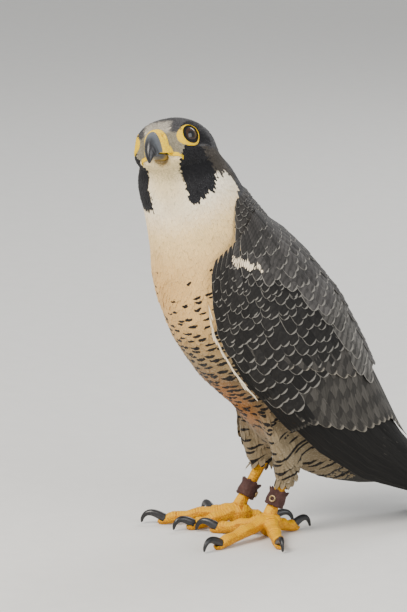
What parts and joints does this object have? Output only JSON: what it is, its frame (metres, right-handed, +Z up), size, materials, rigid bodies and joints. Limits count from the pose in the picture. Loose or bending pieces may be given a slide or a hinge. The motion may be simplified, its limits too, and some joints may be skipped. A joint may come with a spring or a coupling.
{
  "type": "peregrine falcon figure",
  "caption": "Life-size still model of a standing peregrine falcon, head turned and tilted to its left, wings folded, leather anklets on both legs.",
  "frame": {"origin": "middle of the bounding box's bottom face, on the floor plane", "axes": "+Z up, the bird's body faces -Y, its left side is +X; the whole figure is narrowest along X"},
  "size_m": [0.1494, 0.3088, 0.3132],
  "materials": {
    "plumage_dark": "slate grey feathers",
    "plumage_light": "cream feathers",
    "flight_feathers": "dark grey feathers with a dull sheen",
    "bare_skin": "yellow scaled skin",
    "bill_horn": "polished blue-grey horn",
    "claw_horn": "polished black horn",
    "eye": "wet dark brown",
    "anklet_leather": "dark brown leather, rough edges",
    "eyelet_brass": "worn brass"
  },
  "bodies": {
    "root": {"head": "plumage_dark", "wing_left": "plumage_dark", "wing_right": "plumage_dark", "tail": "flight_feathers", "neck": "plumage_light", "torso": "plumage_light", "thigh_left": "plumage_light", "thigh_right": "plumage_light", "tarsus_left": "bare_skin", "tarsus_right": "bare_skin", "foot_left": "bare_skin", "foot_right": "bare_skin", "bill_upper": "bill_horn", "bill_lower": "bill_horn", "claw_inner_left": "claw_horn", "claw_middle_left": "claw_horn", "claw_outer_left": "claw_horn", "claw_back_left": "claw_horn", "claw_inner_right": "claw_horn", "claw_middle_right": "claw_horn", "claw_outer_right": "claw_horn", "claw_back_right": "claw_horn", "eye_left": "eye", "eye_right": "eye", "anklet_left": "anklet_leather", "anklet_right": "anklet_leather", "eyelet_left": "eyelet_brass", "eyelet_right": "eyelet_brass"}
  },
  "joints": []
}
